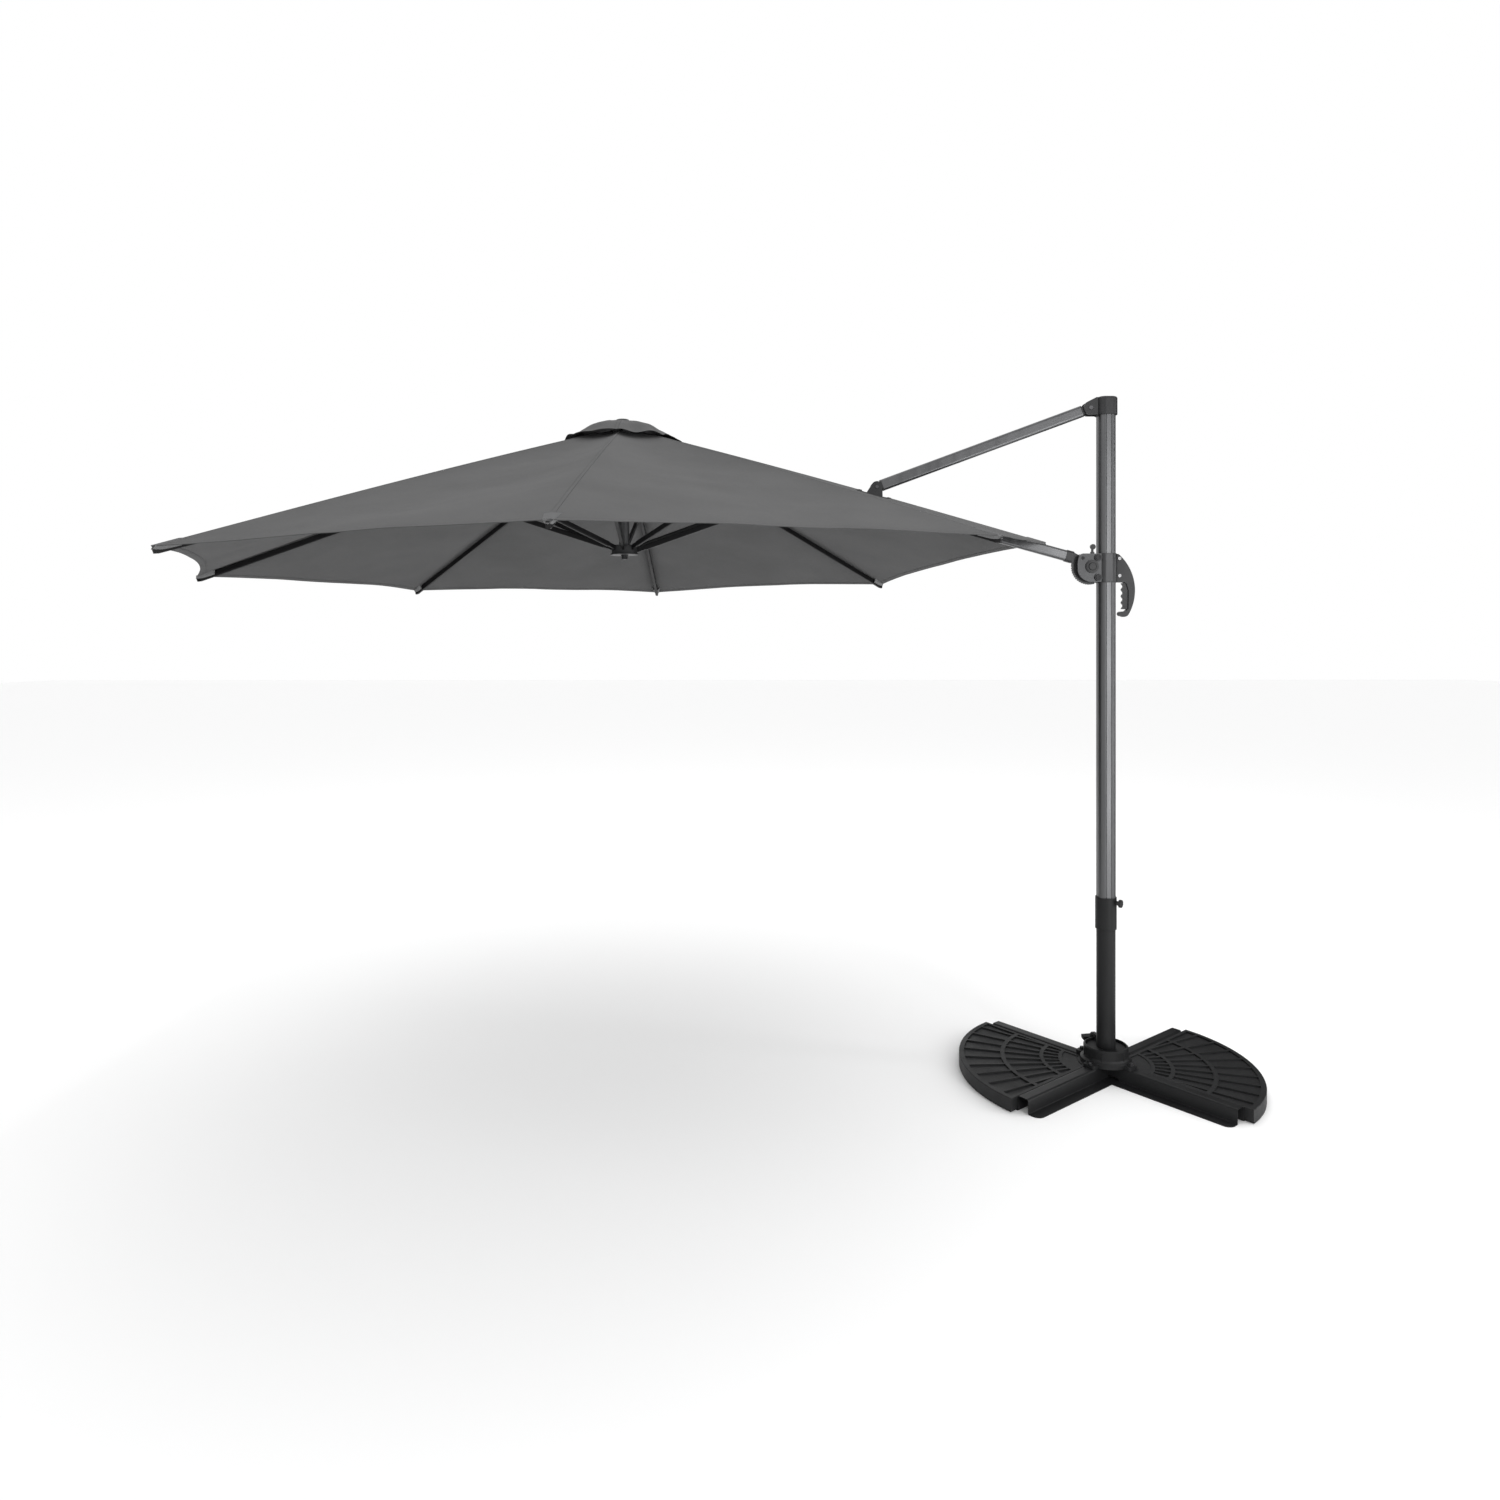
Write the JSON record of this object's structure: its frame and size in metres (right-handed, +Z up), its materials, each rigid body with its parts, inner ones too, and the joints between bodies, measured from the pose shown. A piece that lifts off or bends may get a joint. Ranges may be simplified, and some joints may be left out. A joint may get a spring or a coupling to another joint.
{
  "type": "cantilever parasol",
  "caption": "Cantilever garden parasol: a wide faceted canopy with a vent flap, hung from a swivelling side mast by a folding strut and arm, on a weighted cross base.",
  "frame": {"origin": "on the floor, at the centre of the cross base, on the mast's axis", "axes": "+Z up along the mast; -X from the mast towards the canopy's hub, so the arm lies in the XZ plane; +Y to the rear"},
  "size_m": [3.7196, 3.001, 2.405],
  "materials": {
    "canopy_fabric": "matte",
    "frame_paint": "satin",
    "base_steel": "satin",
    "cast_fittings": "satin",
    "dark_plastic": "matte",
    "rubber_pad": "matte",
    "steel_fasteners": "satin",
    "slab_shell": "matte"
  },
  "bodies": {
    "base": {"cross_bar_a": "base_steel", "cross_bar_b": "base_steel", "slab_left": "slab_shell", "slab_right": "slab_shell", "base_hub": "base_steel", "hub_fasteners": "steel_fasteners", "swivel_bush": "dark_plastic", "pedal_bracket": "base_steel"},
    "pedal": {"foot_pedal": "base_steel"},
    "mast": {"turntable": "base_steel", "lower_tube": "base_steel", "joint_sleeve": "base_steel", "mast_spigot": "base_steel", "upper_mast": "frame_paint", "mast_cap": "cast_fittings", "strut_pivot_bolt": "steel_fasteners"},
    "knob": {"lock_knob": "dark_plastic"},
    "strut": {"strut_tube": "frame_paint", "strut_top_fitting": "cast_fittings", "strut_foot_fitting": "cast_fittings"},
    "arm": {"arm_tube": "frame_paint", "tilt_quadrant": "cast_fittings", "strut_bracket": "cast_fittings", "bracket_bolt": "steel_fasteners", "arm_end_fitting": "cast_fittings", "stretcher_lug": "cast_fittings"},
    "carriage": {"carriage_liner": "dark_plastic", "carriage_front_shell": "cast_fittings", "carriage_rear_shell": "cast_fittings", "pivot_bolt": "steel_fasteners", "carriage_screws": "steel_fasteners", "catch_hook": "dark_plastic", "handle": "dark_plastic"},
    "trigger": {"trigger": "dark_plastic"},
    "shoe": {"brake_shoe": "rubber_pad"},
    "crown": {"crown_hub": "dark_plastic", "crown_pins": "steel_fasteners", "centre_post": "frame_paint", "crown_cap": "dark_plastic", "canopy": "canopy_fabric", "vent_flap": "canopy_fabric"},
    "runner": {"runner": "dark_plastic", "runner_pins": "steel_fasteners", "runner_bolt": "dark_plastic"},
    "stretcher_m": {"stretcher_m": "frame_paint"},
    "rib_e": {"rib_e": "frame_paint"},
    "stretcher_e": {"stretcher_e": "frame_paint"},
    "rib_d": {"rib_d": "frame_paint"},
    "stretcher_d": {"stretcher_d": "frame_paint"},
    "rib_c": {"rib_c": "frame_paint"},
    "stretcher_c": {"stretcher_c": "frame_paint"},
    "rib_b": {"rib_b": "frame_paint"},
    "stretcher_b": {"stretcher_b": "frame_paint"},
    "rib_a": {"rib_a": "frame_paint"},
    "stretcher_a": {"stretcher_a": "frame_paint"},
    "rib_g": {"rib_g": "frame_paint"},
    "stretcher_g": {"stretcher_g": "frame_paint"},
    "rib_n": {"rib_n": "frame_paint"},
    "stretcher_n": {"stretcher_n": "frame_paint"}
  },
  "joints": [
    {"name": "mast_swivel", "type": "hinge", "parent": "base", "child": "mast", "pos_m": [0, 0, 0.08], "axis": [0, 0, 1], "continuous": true},
    {"name": "pedal_press", "type": "hinge", "parent": "base", "child": "pedal", "pos_m": [-0.01615, 0.09159, 0.086], "axis": [-0.9848, -0.1736, 0], "range_deg": [0, 8], "stiffness_Nm_per_rad": 8, "springref_deg": -6.88},
    {"name": "knob_turn", "type": "hinge", "parent": "mast", "child": "knob", "pos_m": [0, 0, 0.615], "axis": [0.7431, -0.6691, 0], "range_deg": [0, 720]},
    {"name": "strut_fold", "type": "hinge", "parent": "mast", "child": "strut", "pos_m": [-0.06, 0, 2.366], "axis": [0, -1, 0], "range_deg": [0, 61.5]},
    {"name": "arm_fold", "type": "hinge", "parent": "strut", "child": "arm", "pos_m": [-0.8176, 0, 2.0845], "axis": [0, -1, 0], "range_deg": [-123, 0]},
    {"name": "carriage_fold", "type": "hinge", "parent": "arm", "child": "carriage", "pos_m": [-0.06, 0, 1.803], "axis": [0, -1, 0], "range_deg": [0, 61.5]},
    {"name": "crown_fold", "type": "hinge", "parent": "arm", "child": "crown", "pos_m": [-1.67387, 0, 2.26106], "axis": [0, -1, 0], "range_deg": [0, 61.5], "deforming": ["canopy", "vent_flap"]},
    {"name": "stretcher_m_fold", "type": "hinge", "parent": "arm", "child": "stretcher_m", "pos_m": [-1.07722, 0, 2.06835], "axis": [0, 1, 0], "range_deg": [-123, 0]},
    {"name": "runner_fold", "type": "hinge", "parent": "stretcher_m", "child": "runner", "pos_m": [-1.66826, 0, 1.85905], "axis": [0, 1, 0], "range_deg": [0, 61.5]},
    {"name": "trigger_pull", "type": "slide", "parent": "carriage", "child": "trigger", "axis": [1, 0, 0], "range_m": [0, 0.006], "stiffness_N_per_m": 1500, "springref_m": -0.004},
    {"name": "shoe_release", "type": "slide", "parent": "carriage", "child": "shoe", "axis": [1, 0, 0], "range_m": [0, 0.003]},
    {"name": "rib_e_fold", "type": "hinge", "parent": "crown", "child": "rib_e", "pos_m": [-1.68572, 0.02828, 2.2704], "axis": [-0.707, 0.7071, -0.0099], "range_deg": [0, 61.5]},
    {"name": "stretcher_e_fold", "type": "hinge", "parent": "rib_e", "child": "stretcher_e", "pos_m": [-1.263, 0.44824, 2.07525], "axis": [-0.707, 0.7071, -0.0099], "range_deg": [-123, 0]},
    {"name": "rib_d_fold", "type": "hinge", "parent": "crown", "child": "rib_d", "pos_m": [-1.714, 0.04, 2.27], "axis": [-0.9999, 0, -0.014], "range_deg": [0, 61.5]},
    {"name": "stretcher_d_fold", "type": "hinge", "parent": "rib_d", "child": "stretcher_d", "pos_m": [-1.71119, 0.6339, 2.069], "axis": [-0.9999, 0, -0.014], "range_deg": [-123, 0]},
    {"name": "rib_c_fold", "type": "hinge", "parent": "crown", "child": "rib_c", "pos_m": [-1.74228, 0.02828, 2.2696], "axis": [-0.707, -0.7071, -0.0099], "range_deg": [0, 61.5]},
    {"name": "stretcher_c_fold", "type": "hinge", "parent": "rib_c", "child": "stretcher_c", "pos_m": [-2.15938, 0.44824, 2.06274], "axis": [-0.707, -0.7071, -0.0099], "range_deg": [-123, 0]},
    {"name": "rib_b_fold", "type": "hinge", "parent": "crown", "child": "rib_b", "pos_m": [-1.754, 0, 2.26944], "axis": [0, -1, 0], "range_deg": [0, 61.5]},
    {"name": "stretcher_b_fold", "type": "hinge", "parent": "rib_b", "child": "stretcher_b", "pos_m": [-2.34503, 0, 2.06014], "axis": [0, -1, 0], "range_deg": [-123, 0]},
    {"name": "rib_a_fold", "type": "hinge", "parent": "crown", "child": "rib_a", "pos_m": [-1.74228, -0.02828, 2.2696], "axis": [0.707, -0.7071, 0.0099], "range_deg": [0, 61.5]},
    {"name": "stretcher_a_fold", "type": "hinge", "parent": "rib_a", "child": "stretcher_a", "pos_m": [-2.15938, -0.44824, 2.06274], "axis": [0.707, -0.7071, 0.0099], "range_deg": [-123, 0]},
    {"name": "rib_g_fold", "type": "hinge", "parent": "crown", "child": "rib_g", "pos_m": [-1.714, -0.04, 2.27], "axis": [0.9999, 0, 0.014], "range_deg": [0, 61.5]},
    {"name": "stretcher_g_fold", "type": "hinge", "parent": "rib_g", "child": "stretcher_g", "pos_m": [-1.71119, -0.6339, 2.069], "axis": [0.9999, 0, 0.014], "range_deg": [-123, 0]},
    {"name": "rib_n_fold", "type": "hinge", "parent": "crown", "child": "rib_n", "pos_m": [-1.68572, -0.02828, 2.2704], "axis": [0.707, 0.7071, 0.0099], "range_deg": [0, 61.5]},
    {"name": "stretcher_n_fold", "type": "hinge", "parent": "rib_n", "child": "stretcher_n", "pos_m": [-1.263, -0.44824, 2.07525], "axis": [0.707, 0.7071, 0.0099], "range_deg": [-123, 0]}
  ],
  "couplings": [
    {"joint": "arm_fold", "follows": "strut_fold", "ratio": -2},
    {"joint": "carriage_fold", "follows": "strut_fold", "ratio": 1},
    {"joint": "crown_fold", "follows": "strut_fold", "ratio": 1},
    {"joint": "stretcher_m_fold", "follows": "strut_fold", "ratio": -2},
    {"joint": "runner_fold", "follows": "strut_fold", "ratio": 1},
    {"joint": "shoe_release", "follows": "trigger_pull", "ratio": 0.5},
    {"joint": "rib_e_fold", "follows": "strut_fold", "ratio": 1},
    {"joint": "stretcher_e_fold", "follows": "strut_fold", "ratio": -2},
    {"joint": "rib_d_fold", "follows": "strut_fold", "ratio": 1},
    {"joint": "stretcher_d_fold", "follows": "strut_fold", "ratio": -2},
    {"joint": "rib_c_fold", "follows": "strut_fold", "ratio": 1},
    {"joint": "stretcher_c_fold", "follows": "strut_fold", "ratio": -2},
    {"joint": "rib_b_fold", "follows": "strut_fold", "ratio": 1},
    {"joint": "stretcher_b_fold", "follows": "strut_fold", "ratio": -2},
    {"joint": "rib_a_fold", "follows": "strut_fold", "ratio": 1},
    {"joint": "stretcher_a_fold", "follows": "strut_fold", "ratio": -2},
    {"joint": "rib_g_fold", "follows": "strut_fold", "ratio": 1},
    {"joint": "stretcher_g_fold", "follows": "strut_fold", "ratio": -2},
    {"joint": "rib_n_fold", "follows": "strut_fold", "ratio": 1},
    {"joint": "stretcher_n_fold", "follows": "strut_fold", "ratio": -2}
  ]
}
